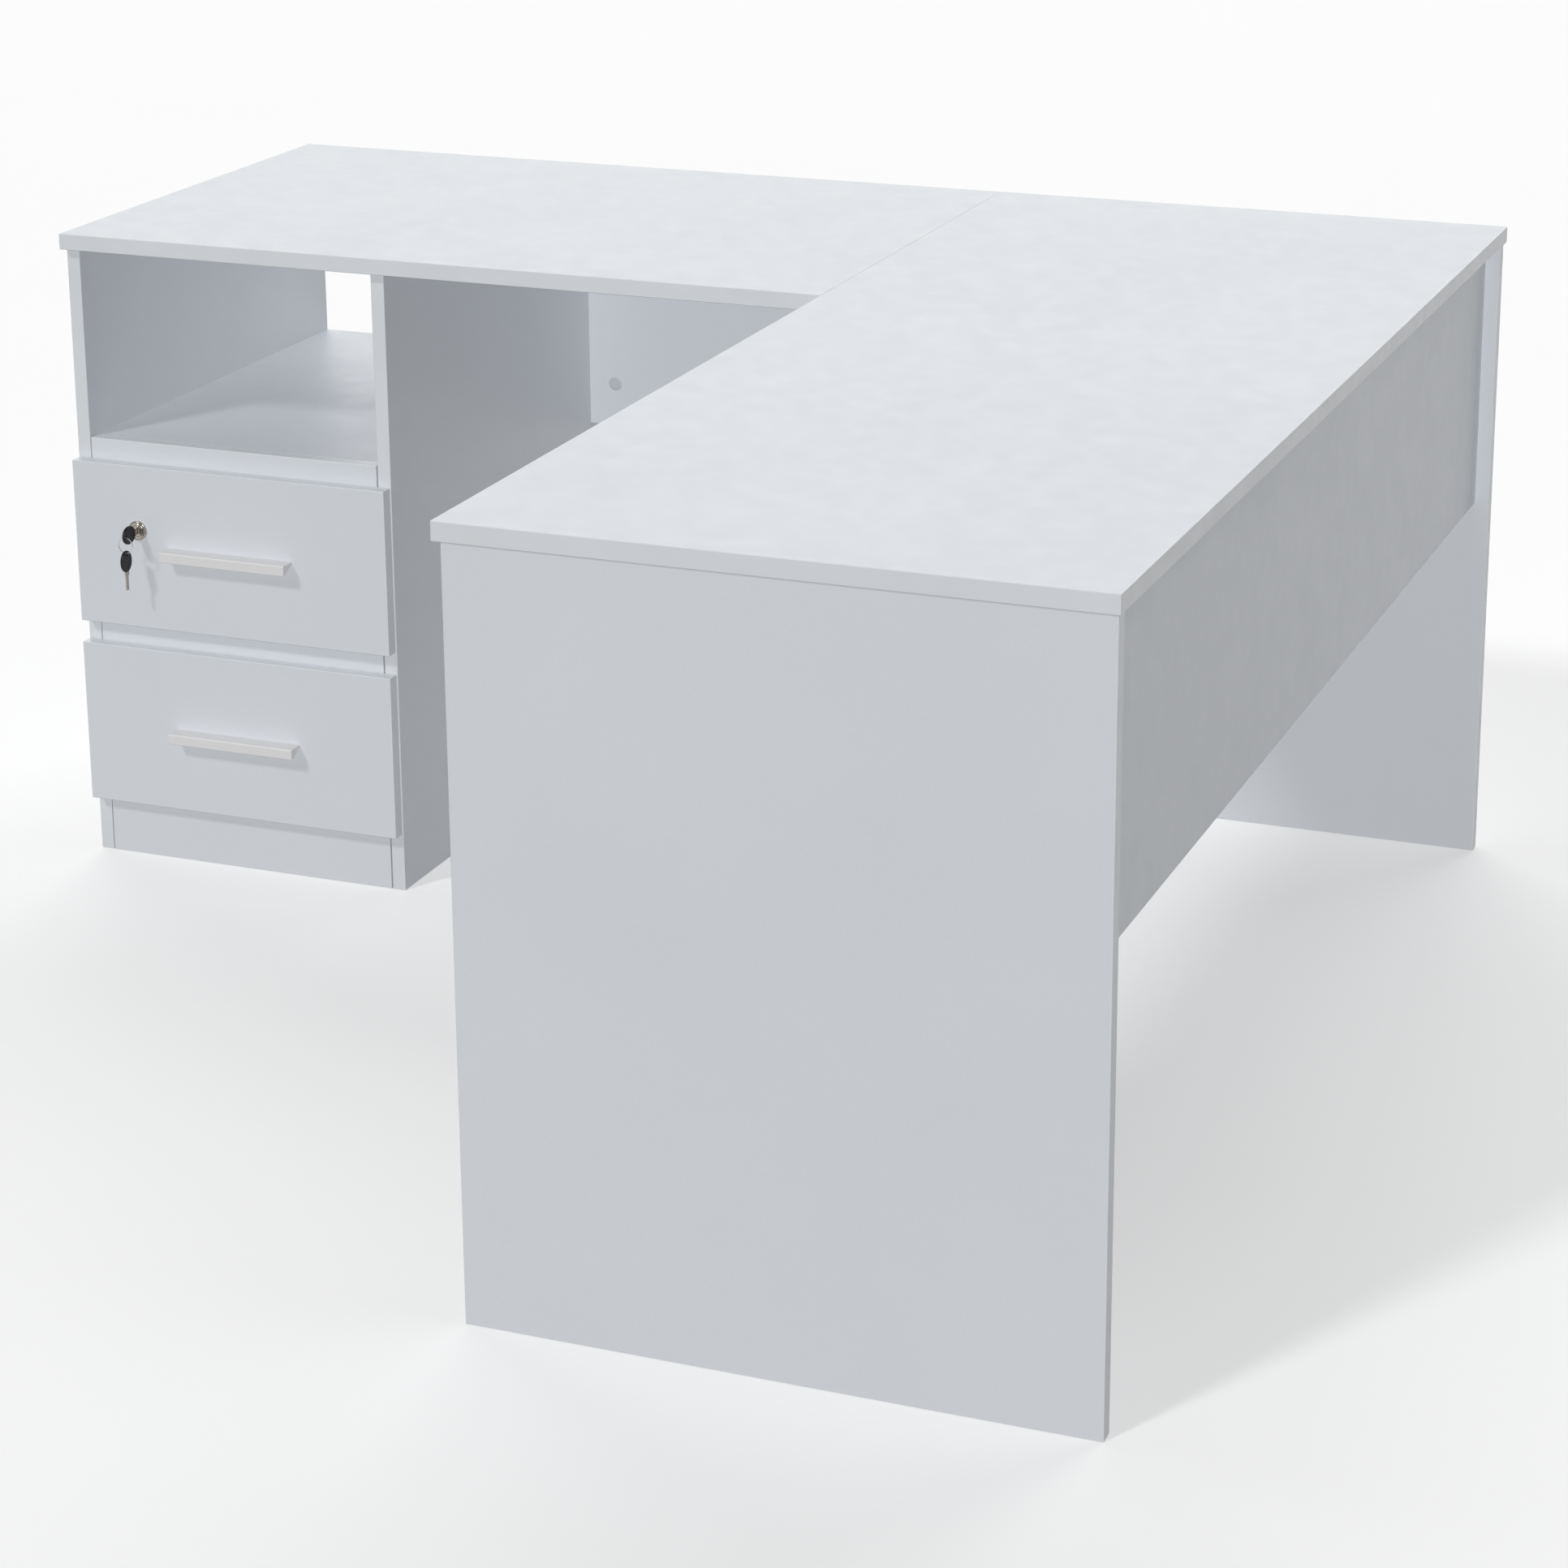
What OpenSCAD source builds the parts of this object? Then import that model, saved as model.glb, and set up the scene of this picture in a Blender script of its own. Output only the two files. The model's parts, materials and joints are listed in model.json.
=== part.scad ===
// Corner desk: a main worktop on two end panels, a return worktop on a drawer pedestal.
// Millimetres, +Z up, the user sits in the inside corner. Origin: middle of the footprint, on the floor.

/* [Worktops] */
// Width of the main worktop, across its short side
main_w = 600; // [580:5:700]
// Length of the main worktop, front edge to back edge
main_l = 1500; // [1400:10:1700]
// Length of the return worktop, left edge to the seam
return_l = 920; // [880:10:1100]
// Depth of the return worktop, front edge to back edge
return_d = 590; // [585:5:650]
// Thickness of both worktops
top_t = 18; // [18:1:25]
// Height of the worktops above the floor
desk_h = 740; // [735:5:780]
// Gap of the seam between the two worktops
seam_gap = 0.5; // [0.2:0.1:1]

/* [Boards] */
// Thickness of the panels, the pedestal boards and the drawer fronts
board_t = 16; // [16:1:18]
// Thickness of the edge banding
edge_t = 1; // [0.5:0.1:1.5]
// Thickness of the thin boards: pedestal back and drawer bottoms
thin_t = 5; // [3:0.5:5]
// Depth of the grooves that hold the thin boards
groove_d = 6; // [5:0.5:7]

/* [Panels] */
// How far the main worktop overhangs its panels on the user's side
over_user = 8; // [2:1:15]
// How far the main worktop overhangs its panels on the outer side
over_outer = 2; // [1:1:15]
// Overhang past the near end panel
over_near = 2; // [1:1:15]
// Overhang past the far end panel
over_far = 8; // [4:1:12]
// Height of both modesty panels
modesty_h = 300; // [280:10:320]
// How far the main modesty panel is set in from the panels' outer edges
modesty_inset = 16; // [5:1:40]
// How far the return modesty panel laps the far end panel
modesty_lap = 60; // [40:5:80]

/* [Pedestal] */
// Width of the pedestal
pedestal_w = 400; // [400:5:450]
// Overhang of the return worktop past the pedestal, left side
over_left = 2; // [1:1:10]
// Overhang of the return worktop past the pedestal, front
over_front = 12; // [2:1:20]
// Overhang of the return worktop past the pedestal, back
over_back = 2; // [1:1:10]
// Clear height of the open compartment under the worktop
open_h = 220; // [200:5:220]
// Gap at each end of the rails and the plinth
rail_gap = 1.5; // [0.5:0.1:2]
// Height of the rail under the open compartment
upper_rail_h = 66; // [60:1:70]
// Height of the rail between the drawers
middle_rail_h = 50; // [40:1:52]
// Height of the plinth
plinth_h = 78; // [74:1:80]

/* [Drawers] */
// Height of a drawer front
front_h = 192; // [188:1:194]
// Height of the lower front's bottom edge above the floor
front_z = 68; // [66:1:70]
// Gap between the two fronts
front_gap = 26; // [24:1:28]
// How far a front stays inside the pedestal's sides
front_in = 1; // [0.5:0.5:2]
// Gap between a closed front and the pedestal
front_clear = 1; // [0.5:0.1:1.5]
// Thickness of the drawer box boards
box_t = 12; // [12:1:13]
// Height of the drawer boxes
box_h = 124; // [120:1:126]
// Length of the drawer boxes, front to back
box_l = 450; // [440:5:480]
// Height of a box above the bottom edge of the upper front
box_rise_upper = 20; // [19:1:21]
// Height of a box above the bottom edge of the lower front
box_rise_lower = 32; // [28:1:34]

/* [Slides] */
// Width that a slide takes between pedestal and drawer box
slide_w = 12.7; // [12.7:0.1:13]
// Thickness of the slides' steel
slide_gauge = 1.2; // [1:0.1:1.2]
// Height of the cabinet member
slide_h = 45; // [43:1:45]
// Length of the cabinet member
slide_l = 450; // [400:10:450]

/* [Handles] */
// Length of a handle
handle_l = 160; // [150:1:180]
// How far a handle stands out from its front
handle_d = 20; // [18:1:24]
// Height of a handle's grip
handle_h = 12; // [11:1:16]
// Wall thickness of a handle
handle_t = 3; // [2.5:0.5:3]
// Distance between a handle's two screws
handle_pitch = 128; // [96:32:128]

/* [Lock and keys] */
// Distance from the pedestal's left face to the lock
lock_x = 83; // [80:1:90]
// Distance of the lock below the top edge of its drawer front
lock_drop = 76; // [74:1:78]
// Radius of the lock's body
lock_r = 9.5; // [9:0.1:9.5]
// Radius of the lock's plug
plug_r = 6.5; // [6:0.1:6.5]
// Reach of the lock's cam from the plug's axis
cam_reach = 45; // [42:1:46]
// Length of a key's head
head_l = 25; // [24:1:28]
// Width of a key's head
head_w = 21; // [18:1:22]
// Radius of the key ring
ring_r = 9; // [8:0.5:10]

/* [Hidden] */
$fn = 48;

// Colours
melamine = [0.87, 0.88, 0.90];
banding = [0.84, 0.85, 0.84];
hardboard = [0.90, 0.90, 0.89];
zinc = [0.72, 0.74, 0.76];
beech = [0.80, 0.66, 0.46];
cap_grey = [0.66, 0.68, 0.69];
ivory = [0.91, 0.91, 0.87];
nickel = [0.78, 0.77, 0.75];
black = [0.09, 0.09, 0.11];

// Worktops
desk_w = main_w + return_l;
x_left = -desk_w / 2;
x_right = desk_w / 2;
x_seam = x_right - main_w;
y_near = -main_l / 2;
y_back = main_l / 2;
y_return = y_back - return_d;
z_under = desk_h - top_t;
main_lo = [x_seam, y_near, z_under];
main_hi = [x_right, y_back, desk_h];
return_lo = [x_left, y_return, z_under];
return_hi = [x_seam - seam_gap, y_back, desk_h];

// End panels and modesty panels
panel_x0 = x_seam + over_user;
panel_x1 = x_right - over_outer;
near_y = y_near + over_near;
far_y = y_back - over_far - board_t;
near_lo = [panel_x0, near_y, 0];
near_hi = [panel_x1, near_y + board_t, z_under];
far_lo = [panel_x0, far_y, 0];
far_hi = [panel_x1, far_y + board_t, z_under];
modesty_z = z_under - modesty_h;
main_modesty_x = panel_x1 - modesty_inset - board_t;
main_modesty_lo = [main_modesty_x, near_y + board_t, modesty_z];
main_modesty_hi = [main_modesty_x + board_t, far_y, z_under];

// Pedestal
ped_x0 = x_left + over_left;
ped_x1 = ped_x0 + pedestal_w;
in_x0 = ped_x0 + board_t;
in_x1 = ped_x1 - board_t;
ped_y0 = y_return + over_front;
ped_y1 = y_back - over_back;
rail_y1 = ped_y0 + board_t;
shelf_z = z_under - open_h - board_t;
bottom_z = plinth_h - board_t;
ped_back_y = ped_y1 - 2 * thin_t;
left_lo = [ped_x0, ped_y0, 0];
left_hi = [in_x0, ped_y1, z_under];
right_lo = [in_x1, ped_y0, 0];
right_hi = [ped_x1, ped_y1, z_under];
shelf_lo = [in_x0, rail_y1, shelf_z];
shelf_hi = [in_x1, ped_y1, shelf_z + board_t];
bottom_lo = [in_x0, rail_y1, bottom_z];
bottom_hi = [in_x1, ped_y1, plinth_h];
upper_rail_lo = [in_x0 + rail_gap, ped_y0, shelf_z + board_t - upper_rail_h];
upper_rail_hi = [in_x1 - rail_gap, rail_y1, shelf_z + board_t];
lap_play = 0.1;
return_modesty_lo = [ped_x1, far_y - board_t - lap_play, modesty_z];
return_modesty_hi = [panel_x0 + modesty_lap, far_y - lap_play, z_under];
return_modesty_y = far_y - board_t / 2 - lap_play;

// Drawers
upper_front_z = front_z + front_h + front_gap;
front_x0 = ped_x0 + front_in;
front_x1 = ped_x1 - front_in;
front_y1 = ped_y0 - front_clear;
front_y0 = front_y1 - board_t;
middle_rail_z = upper_front_z - front_gap / 2 - middle_rail_h / 2;
middle_rail_lo = [in_x0 + rail_gap, ped_y0, middle_rail_z];
middle_rail_hi = [in_x1 - rail_gap, rail_y1, middle_rail_z + middle_rail_h];
upper_box_z = upper_front_z + box_rise_upper;
lower_box_z = front_z + box_rise_lower;
box_x0 = in_x0 + slide_w;
box_x1 = in_x1 - slide_w;
box_y1 = front_y1 + box_l;
inner_y = front_y1 + box_t;
drawer_bottom_rise = 8;
groove_play = 0.1;

// Slides: how far each member reaches from the pedestal's side
slide_y = ped_y0 + 3;
cabinet_flange_u = 9.5;
middle_web_u = 2 * slide_gauge;
middle_flange_u = 11;
middle_h = 36;
drawer_flange_u = 5;
drawer_member_h = 27;
middle_l = slide_l - 4;
drawer_member_l = slide_l - 6;
cabinet_screw_at = [35, 195, 355];
drawer_screw_at = [50, 210, 370];

// Joints between boards
cam_r = 7.5;
cam_depth = 12.5;
cam_back = 34;
bolt_r = 4;
thread_r = 2.5;
thread_l = 11;
dowel_r = 4;
dowel_into_end = 18;
dowel_into_face = 12;
play = 0.1;

// Screws
screw_r = 1.7;
screw_head_r = 3.5;
screw_head_h = 2;
flat_head_h = 0.9;
drawer_screw_l = 24;

// Handles, relative to the middle of a front
handle_x = (front_x0 + front_x1) / 2;
handle_rise = 3;
handle_screw_drop = 5.5;
boss_r = 4.5;
boss_l = 10;
handle_screw_r = 2;

// Lock and keys
lock_px = ped_x0 + lock_x;
lock_pz = upper_front_z + front_h - lock_drop;
bezel_r = 11.5;
bezel_h = 3;
housing_y0 = front_y0 - bezel_h;
plug_y0 = housing_y0 + 0.5;
nut_h = 4;
cam_y0 = rail_y1 + 1;
cam_t = 2;
tang_r = 4;
key_reach = 16;
blade_t = 1.6;
blade_h = 5;
collar_h = 8;
collar_l = 4.5;
blade_out = 5.5;
keyway_play = 0.3;
head_t = 3.4;
head_hole_r = 2.6;
head_hole_at = 8.8;
tang_in = 8;
key_y1 = plug_y0 + key_reach;
head_y = plug_y0 - blade_out - head_l / 2;
hole_y = head_y - head_hole_at;
wire_r = 0.7;
wire_sag = 0.9;
ring_z = lock_pz - wire_sag - ring_r;
spare_hole_z = lock_pz - 2 * wire_sag - 2 * ring_r;
spare_z = spare_hole_z - head_hole_at;

// Each cam joint: where the boards meet, the side that the cam's hole opens on, the way the bolt points
panel_cam_x = [panel_x0 + 100, panel_x1 - 60];
modesty_cam_z = [modesty_z + 53, modesty_z + 250];
main_modesty_mid = main_modesty_x + board_t / 2;
ped_cam_y = [rail_y1 + 50, ped_y1 - 50];
desk_cams = [
    for (x = panel_cam_x) [[x, near_y + board_t / 2, z_under], [0, 1, 0], [0, 0, 1]],
    for (x = panel_cam_x) [[x, far_y + board_t / 2, z_under], [0, -1, 0], [0, 0, 1]],
    for (z = modesty_cam_z) [[main_modesty_mid, near_y + board_t, z], [-1, 0, 0], [0, -1, 0]],
    for (z = modesty_cam_z) [[main_modesty_mid, far_y, z], [-1, 0, 0], [0, 1, 0]],
    for (y = [-250, 250]) [[main_modesty_mid, y, z_under], [-1, 0, 0], [0, 0, 1]],
    for (z = modesty_cam_z) [[ped_x1, return_modesty_y, z], [0, -1, 0], [-1, 0, 0]],
    for (x = [-200, 60]) [[x, return_modesty_y, z_under], [0, -1, 0], [0, 0, 1]]
];
pedestal_cams = [
    for (y = ped_cam_y) [[in_x0, y, shelf_z + board_t / 2], [0, 0, -1], [-1, 0, 0]],
    for (y = ped_cam_y) [[in_x1, y, shelf_z + board_t / 2], [0, 0, -1], [1, 0, 0]],
    for (y = ped_cam_y) [[in_x0, y, bottom_z + board_t / 2], [0, 0, 1], [-1, 0, 0]],
    for (y = ped_cam_y) [[in_x1, y, bottom_z + board_t / 2], [0, 0, 1], [1, 0, 0]]
];

// Each dowel: where the boards meet, the way into the board whose face is drilled
modesty_dowel_z = [modesty_z + 24, modesty_z + 150, modesty_z + 280];
ped_dowel_y = [rail_y1 + 85, ped_y1 - 85];
rail_mid_y = ped_y0 + board_t / 2;
rail_dowel_z = [upper_rail_lo.z + 16, upper_rail_lo.z + 48, middle_rail_z + 12, middle_rail_z + 38, 20, 54];
desk_dowels = [
    for (x = [panel_x0 + 40, (panel_x0 + panel_x1) / 2, panel_x1 - 40], y = [near_y, far_y])
        [[x, y + board_t / 2, z_under], [0, 0, 1]],
    for (z = modesty_dowel_z) [[main_modesty_mid, near_y + board_t, z], [0, -1, 0]],
    for (z = modesty_dowel_z) [[main_modesty_mid, far_y, z], [0, 1, 0]],
    for (y = [-500, 0, 500]) [[main_modesty_mid, y, z_under], [0, 0, 1]],
    for (z = modesty_dowel_z) [[ped_x1, return_modesty_y, z], [-1, 0, 0]],
    for (x = [-300, -70]) [[x, return_modesty_y, z_under], [0, 0, 1]]
];
pedestal_dowels = [
    for (x = [ped_x0, in_x1], y = [ped_y0 + 40, (ped_y0 + ped_y1) / 2, ped_y1 - 60])
        [[x + board_t / 2, y, z_under], [0, 0, 1]],
    for (y = ped_dowel_y, z = [shelf_z, bottom_z]) [[in_x0, y, z + board_t / 2], [-1, 0, 0]],
    for (y = ped_dowel_y, z = [shelf_z, bottom_z]) [[in_x1, y, z + board_t / 2], [1, 0, 0]],
    for (z = rail_dowel_z) [[in_x0, rail_mid_y, z], [-1, 0, 0]],
    for (z = rail_dowel_z) [[in_x1, rail_mid_y, z], [1, 0, 0]]
];

// Flat plates that join the two worktops from below
plate_size = [80, 40, 3];
plate_y = [y_return + 90, y_back - 100];
plate_screw_l = 14;
plate_screws_at = [
    for (y = plate_y, dx = [-28, 28], dy = [-12, 12]) [x_seam + dx, y + dy, z_under - plate_size.z]
];
lap_screw_l = 27;
lap_screws_at = [for (z = modesty_cam_z) [panel_x0 + modesty_lap / 2, return_modesty_lo.y, z]];

// Rotation that turns +Z towards an axis direction
function turn(v) = v.x != 0 ? [0, 90 * v.x, 0] : v.y != 0 ? [-90 * v.y, 0, 0] : v.z < 0 ? [180, 0, 0] : [0, 0, 0];

function along(axis, size) = [for (k = [0:2]) k == axis ? size : 0];

module block(lo, hi) {
    translate(lo) cube(hi - lo);
}

// Round bar through a point: back against the direction, ahead with it
module peg(point, way, radius, back, ahead) {
    translate(point) rotate(turn(way)) translate([0, 0, -back]) cylinder(r = radius, h = back + ahead);
}

// Strip of edge banding along one side of a board
module band(lo, hi, axis, side) {
    strip_lo = [for (k = [0:2]) k == axis && side > 0 ? hi[k] - edge_t : lo[k]];
    strip_hi = [for (k = [0:2]) k == axis && side < 0 ? lo[k] + edge_t : hi[k]];
    block(strip_lo, strip_hi);
}

// Four strips round a board whose edges face two axes
module bands_around(lo, hi, first, second) {
    for (side = [-1, 1]) {
        band(lo, hi, first, side);
        band(lo + along(first, edge_t), hi - along(first, edge_t), second, side);
    }
}

// Board inside its four strips
module core_around(lo, hi, first, second) {
    inset = along(first, edge_t) + along(second, edge_t);
    block(lo + inset, hi - inset);
}

module cam_holes(joint) {
    centre = joint[0] - joint[2] * cam_back;
    mouth = centre + joint[1] * board_t / 2;
    peg(mouth, joint[1], cam_r, cam_depth, 0.5);
    peg(joint[0], joint[2], bolt_r, cam_back, 0);
    peg(joint[0], joint[2], thread_r, 1, thread_l + 0.5);
}

module dowel_hole(joint) {
    peg(joint[0], joint[1], dowel_r, dowel_into_end + 0.5, dowel_into_face + 0.5);
}

module desk_holes() {
    for (joint = desk_cams) cam_holes(joint);
    for (joint = desk_dowels) dowel_hole(joint);
    for (point = plate_screws_at) peg(point, [0, 0, 1], screw_r + play, 0, plate_screw_l + 0.5);
    for (point = lap_screws_at) peg(point, [0, 1, 0], screw_r + play, 1, lap_screw_l + 0.5);
}

module pedestal_holes() {
    for (joint = pedestal_cams) cam_holes(joint);
    for (joint = pedestal_dowels) dowel_hole(joint);
}

module screw(point, way, length, radius = screw_r, head_h = screw_head_h) {
    peg(point, way, radius, 0, length);
    peg(point, way, screw_head_r, head_h, 0);
}

// Worktops

module main_top() {
    color(melamine) difference() {
        core_around(main_lo, main_hi, 0, 1);
        desk_holes();
    }
}

module main_top_edging() {
    color(banding) bands_around(main_lo, main_hi, 0, 1);
}

module return_top() {
    color(melamine) difference() {
        core_around(return_lo, return_hi, 0, 1);
        desk_holes();
        pedestal_holes();
    }
}

module return_top_edging() {
    color(banding) bands_around(return_lo, return_hi, 0, 1);
}

// Panels

module end_panel(lo, hi) {
    color(melamine) difference() {
        block(lo + along(0, edge_t), hi - along(0, edge_t));
        desk_holes();
    }
}

module near_end_panel() {
    end_panel(near_lo, near_hi);
}

module far_end_panel() {
    end_panel(far_lo, far_hi);
}

module main_modesty_panel() {
    color(melamine) difference() {
        block(main_modesty_lo + along(2, edge_t), main_modesty_hi);
        desk_holes();
    }
}

module return_modesty_panel() {
    color(melamine) difference() {
        block(return_modesty_lo + along(2, edge_t), return_modesty_hi - along(0, edge_t));
        desk_holes();
    }
}

module panel_edging() {
    color(banding) {
        for (side = [-1, 1]) {
            band(near_lo, near_hi, 0, side);
            band(far_lo, far_hi, 0, side);
        }
        band(main_modesty_lo, main_modesty_hi, 2, -1);
        band(return_modesty_lo, return_modesty_hi - along(0, edge_t), 2, -1);
        band(return_modesty_lo, return_modesty_hi, 0, 1);
    }
}

// Pedestal

// Groove in the sides for the pedestal's thin back
module back_space(play_y) {
    block(
        [in_x0 - groove_d, ped_back_y - play_y, plinth_h],
        [in_x1 + groove_d, ped_back_y + thin_t + play_y, shelf_z]
    );
}

module pedestal_side(lo, hi) {
    color(melamine) difference() {
        block(lo + along(1, edge_t), hi - along(1, edge_t));
        pedestal_holes();
        desk_holes();
        back_space(groove_play);
        for (screw_hole = cabinet_screws_at()) slide_screw_hole(screw_hole);
    }
}

module pedestal_left_side() {
    pedestal_side(left_lo, left_hi);
}

module pedestal_right_side() {
    pedestal_side(right_lo, right_hi);
}

module pedestal_shelf() {
    color(melamine) difference() {
        block(shelf_lo, shelf_hi - along(1, edge_t));
        pedestal_holes();
    }
}

module pedestal_bottom() {
    color(melamine) difference() {
        block(bottom_lo, bottom_hi - along(1, edge_t));
        pedestal_holes();
    }
}

module pedestal_back() {
    color(hardboard) intersection() {
        back_space(0);
        block([in_x0 - groove_d + play, 0, 0], [in_x1 + groove_d - play, y_back, desk_h]);
    }
}

module pedestal_upper_rail() {
    color(melamine) difference() {
        block(upper_rail_lo, upper_rail_hi - along(2, edge_t));
        pedestal_holes();
    }
}

module pedestal_middle_rail() {
    color(melamine) difference() {
        block(middle_rail_lo, middle_rail_hi);
        pedestal_holes();
    }
}

module pedestal_plinth() {
    color(melamine) difference() {
        block([in_x0 + rail_gap, ped_y0, 0], [in_x1 - rail_gap, rail_y1, plinth_h]);
        pedestal_holes();
    }
}

module pedestal_edging() {
    color(banding) {
        for (side = [-1, 1]) {
            band(left_lo, left_hi, 1, side);
            band(right_lo, right_hi, 1, side);
        }
        band(shelf_lo, shelf_hi, 1, 1);
        band(bottom_lo, bottom_hi, 1, 1);
        band(upper_rail_lo, upper_rail_hi, 2, 1);
    }
}

// Fittings

module cam_lock(joint) {
    mouth = joint[0] - joint[2] * cam_back + joint[1] * board_t / 2;
    translate(mouth) rotate(turn(joint[1])) difference() {
        translate([0, 0, play - cam_depth]) cylinder(r = cam_r - play, h = cam_depth - 2 * play);
        for (angle = [0, 90]) rotate(angle) translate([-3.5, -0.6, -3]) cube([7, 1.2, 4]);
    }
}

module cam_locks() {
    color(zinc) {
        for (joint = desk_cams) cam_lock(joint);
        for (joint = pedestal_cams) cam_lock(joint);
    }
}

module cam_bolt(joint) {
    peg(joint[0], joint[2], bolt_r - 0.6, cam_back - cam_r - play, 0);
    peg(joint[0], joint[2], thread_r - play, 1, thread_l);
}

module cam_bolts() {
    color(zinc) {
        for (joint = desk_cams) cam_bolt(joint);
        for (joint = pedestal_cams) cam_bolt(joint);
    }
}

module cam_cover_caps() {
    color(cap_grey) for (joint = desk_cams)
        peg(joint[0] - joint[2] * cam_back + joint[1] * board_t / 2, joint[1], cam_r + 1, 0, 1.2);
}

module wood_dowels() {
    color(beech) {
        for (joint = desk_dowels) peg(joint[0], joint[1], dowel_r - play, dowel_into_end, dowel_into_face);
        for (joint = pedestal_dowels) peg(joint[0], joint[1], dowel_r - play, dowel_into_end, dowel_into_face);
    }
}

module joining_plates() {
    color(zinc) for (y = plate_y) difference() {
        translate([x_seam - plate_size.x / 2, y - plate_size.y / 2, z_under - plate_size.z]) cube(plate_size);
        for (point = plate_screws_at) peg(point, [0, 0, 1], screw_r + 0.3, 1, plate_size.z + 1);
    }
}

module joining_plate_screws() {
    color(zinc) for (point = plate_screws_at) screw(point, [0, 0, 1], plate_screw_l);
}

module lap_screws() {
    color(zinc) for (point = lap_screws_at) screw(point, [0, 1, 0], lap_screw_l);
}

// Slides: a channel of folded steel, seen from the front, standing off the pedestal's left side

module channel(from_u, to_u, height, web_first) {
    difference() {
        translate([from_u, -height / 2]) square([to_u - from_u, height]);
        translate([web_first ? from_u + slide_gauge : from_u - 1, slide_gauge - height / 2])
            square([to_u - from_u - slide_gauge + 1, height - 2 * slide_gauge]);
    }
}

// Left and right member of a pair, with their profile as the child
module slide_pair(z, start, length) {
    for (side = [0, 1])
        translate([side == 0 ? in_x0 : in_x1, start + length, z])
            mirror([side, 0, 0])
                rotate([90, 0, 0])
                    linear_extrude(length) children();
}

function slide_z(box_z) = box_z + box_h / 2;

// Each slide screw: its place on the web, the way it is driven
function cabinet_screws_at() = [
    for (z = [slide_z(upper_box_z), slide_z(lower_box_z)], y = cabinet_screw_at, side = [-1, 1])
        [[side < 0 ? in_x0 + slide_gauge : in_x1 - slide_gauge, slide_y + y, z], [side, 0, 0]]
];
function drawer_screws_at(box_z) = [
    for (y = drawer_screw_at, side = [-1, 1])
        [
            [side < 0 ? box_x0 - slide_gauge : box_x1 + slide_gauge, slide_y + y, slide_z(box_z)],
            [-side, 0, 0]
        ]
];

module slide_screw_hole(place) {
    peg(place[0], place[1], screw_r + play, 0, 11.5);
}

module slide_cabinet_members() {
    color(zinc) difference() {
        for (z = [slide_z(upper_box_z), slide_z(lower_box_z)])
            slide_pair(z, slide_y, slide_l) channel(0, cabinet_flange_u, slide_h, true);
        for (place = cabinet_screws_at()) peg(place[0], place[1], screw_r + 0.3, 1, slide_gauge + 1);
    }
}

module slide_cabinet_screws() {
    color(zinc) for (place = cabinet_screws_at()) screw(place[0], place[1], 11, head_h = flat_head_h);
}

module slide_middle_members(box_z) {
    color(zinc) slide_pair(slide_z(box_z), slide_y + 2, middle_l)
        channel(middle_web_u, middle_flange_u, middle_h, true);
}

module upper_slide_middle_members() {
    slide_middle_members(upper_box_z);
}

module lower_slide_middle_members() {
    slide_middle_members(lower_box_z);
}

module slide_drawer_members(box_z) {
    color(zinc) difference() {
        slide_pair(slide_z(box_z), slide_y, drawer_member_l)
            channel(drawer_flange_u, slide_w, drawer_member_h, false);
        for (place = drawer_screws_at(box_z)) peg(place[0], place[1], screw_r + 0.3, 1, slide_gauge + 1);
    }
}

module upper_slide_drawer_members() {
    slide_drawer_members(upper_box_z);
}

module lower_slide_drawer_members() {
    slide_drawer_members(lower_box_z);
}

module slide_drawer_screws(box_z) {
    color(zinc) for (place = drawer_screws_at(box_z)) screw(place[0], place[1], 11, head_h = flat_head_h);
}

module upper_slide_drawer_screws() {
    slide_drawer_screws(upper_box_z);
}

module lower_slide_drawer_screws() {
    slide_drawer_screws(lower_box_z);
}

// Drawers

function handle_screws_at(front_bottom) = [
    for (dx = [-handle_pitch / 2, handle_pitch / 2])
        [handle_x + dx, inner_y, front_bottom + front_h / 2 + handle_rise - handle_screw_drop]
];
function front_screws_at(box_z) = [
    for (x = [box_x0 + 25, box_x1 - 25], dz = [45, 94]) [[x, inner_y, box_z + dz], [0, -1, 0]]
];
function corner_screws_at(box_z) = [
    for (y = [front_y1 + box_t / 2, box_y1 - box_t / 2], dz = [30, 108], side = [-1, 1])
        [[side < 0 ? box_x0 : box_x1, y, box_z + dz], [-side, 0, 0]]
];
function box_screws_at(box_z) = concat(front_screws_at(box_z), corner_screws_at(box_z));

module drawer_holes(front_bottom, box_z) {
    for (point = handle_screws_at(front_bottom)) peg(point, [0, -1, 0], handle_screw_r + 0.2, 1, 40);
    for (place = box_screws_at(box_z)) peg(place[0], place[1], screw_r + play, 1, drawer_screw_l + 0.5);
    for (place = drawer_screws_at(box_z)) slide_screw_hole(place);
}

// Space of a drawer's thin bottom, in the grooves of its four boards
module drawer_bottom_space(box_z, play_out) {
    block(
        [box_x0 + groove_d - play_out, front_y1 + groove_d - play_out, box_z + drawer_bottom_rise - play_out],
        [box_x1 - groove_d + play_out, box_y1 - groove_d + play_out, box_z + drawer_bottom_rise + thin_t + play_out]
    );
}

module lock_hole() {
    peg([lock_px, front_y0, lock_pz], [0, 1, 0], lock_r + play, 1, board_t + box_t + 2);
}

module drawer_front(front_bottom, box_z) {
    color(melamine) difference() {
        core_around(
            [front_x0, front_y0, front_bottom],
            [front_x1, front_y1, front_bottom + front_h],
            0,
            2
        );
        drawer_holes(front_bottom, box_z);
        lock_hole();
    }
}

module upper_drawer_front() {
    drawer_front(upper_front_z, upper_box_z);
}

module lower_drawer_front() {
    drawer_front(front_z, lower_box_z);
}

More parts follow.
